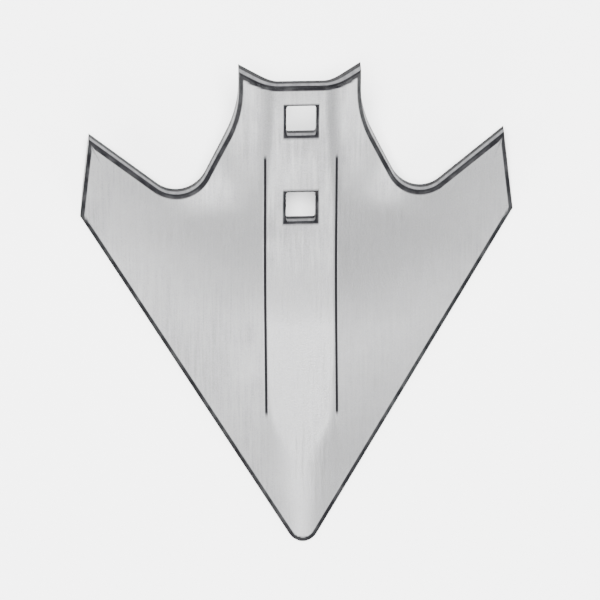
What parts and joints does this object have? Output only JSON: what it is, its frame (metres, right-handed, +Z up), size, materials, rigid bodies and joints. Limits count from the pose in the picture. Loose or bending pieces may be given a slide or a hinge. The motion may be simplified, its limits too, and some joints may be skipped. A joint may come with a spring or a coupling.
{
  "type": "cultivator sweep",
  "caption": "Arrow-shaped steel cultivator share: swept cutting wings fold down from a crowned nose and a sloped stem with square bolt holes, which bolts to a tine to loosen soil and cut weeds.",
  "frame": {"origin": "centre of the bounding box's underside, on the surface the cutting edges rest on", "axes": "+Y from the nose towards the stem, +Z up, X across the wings"},
  "size_m": [0.2, 0.2202, 0.0774],
  "materials": {
    "steel": "satin light grey, shot-blasted plate"
  },
  "bodies": {
    "root": {"sweep": "steel"}
  },
  "joints": []
}
